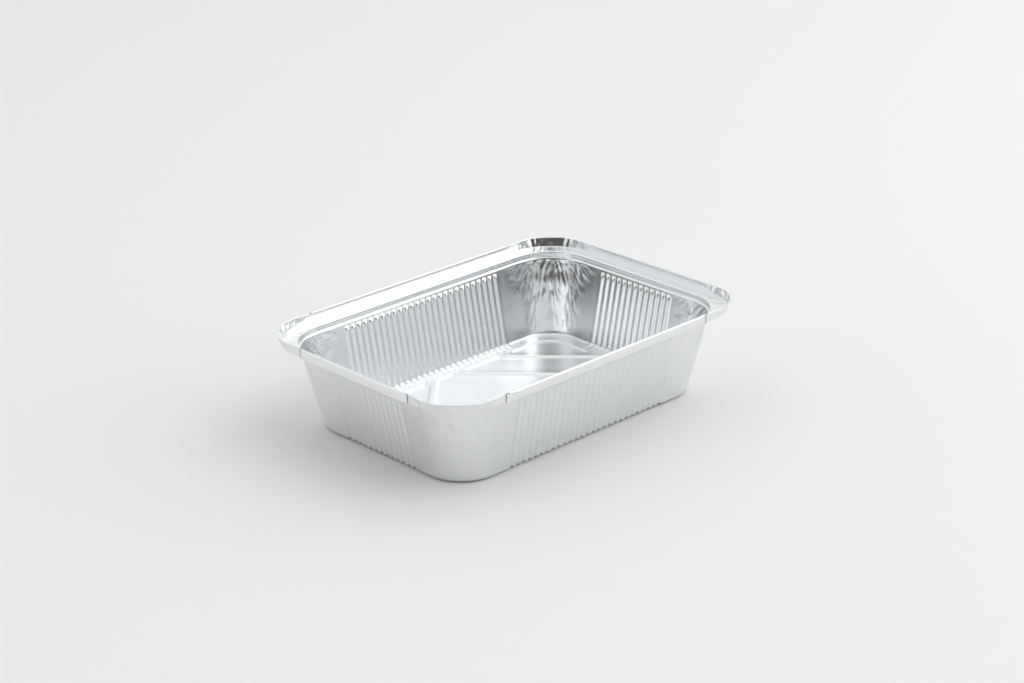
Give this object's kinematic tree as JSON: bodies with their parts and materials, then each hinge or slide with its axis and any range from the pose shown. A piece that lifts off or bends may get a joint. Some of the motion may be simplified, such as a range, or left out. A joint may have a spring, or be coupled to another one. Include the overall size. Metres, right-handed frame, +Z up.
{
  "type": "foil tray",
  "caption": "Rectangular aluminium foil container with drafted fluted walls, gathered corners, a flat flange with a rolled edge along each side and a base stiffened by diagonal ridges.",
  "frame": {"origin": "middle of the underside, in the plane that the sunk base panels rest on", "axes": "+Z up through the open mouth, X along the long sides, Y along the short sides"},
  "size_m": [0.214, 0.1516, 0.052],
  "materials": {
    "foil": "bright rolled foil with fine press wrinkles"
  },
  "bodies": {
    "root": {"tray": "foil"}
  },
  "joints": []
}
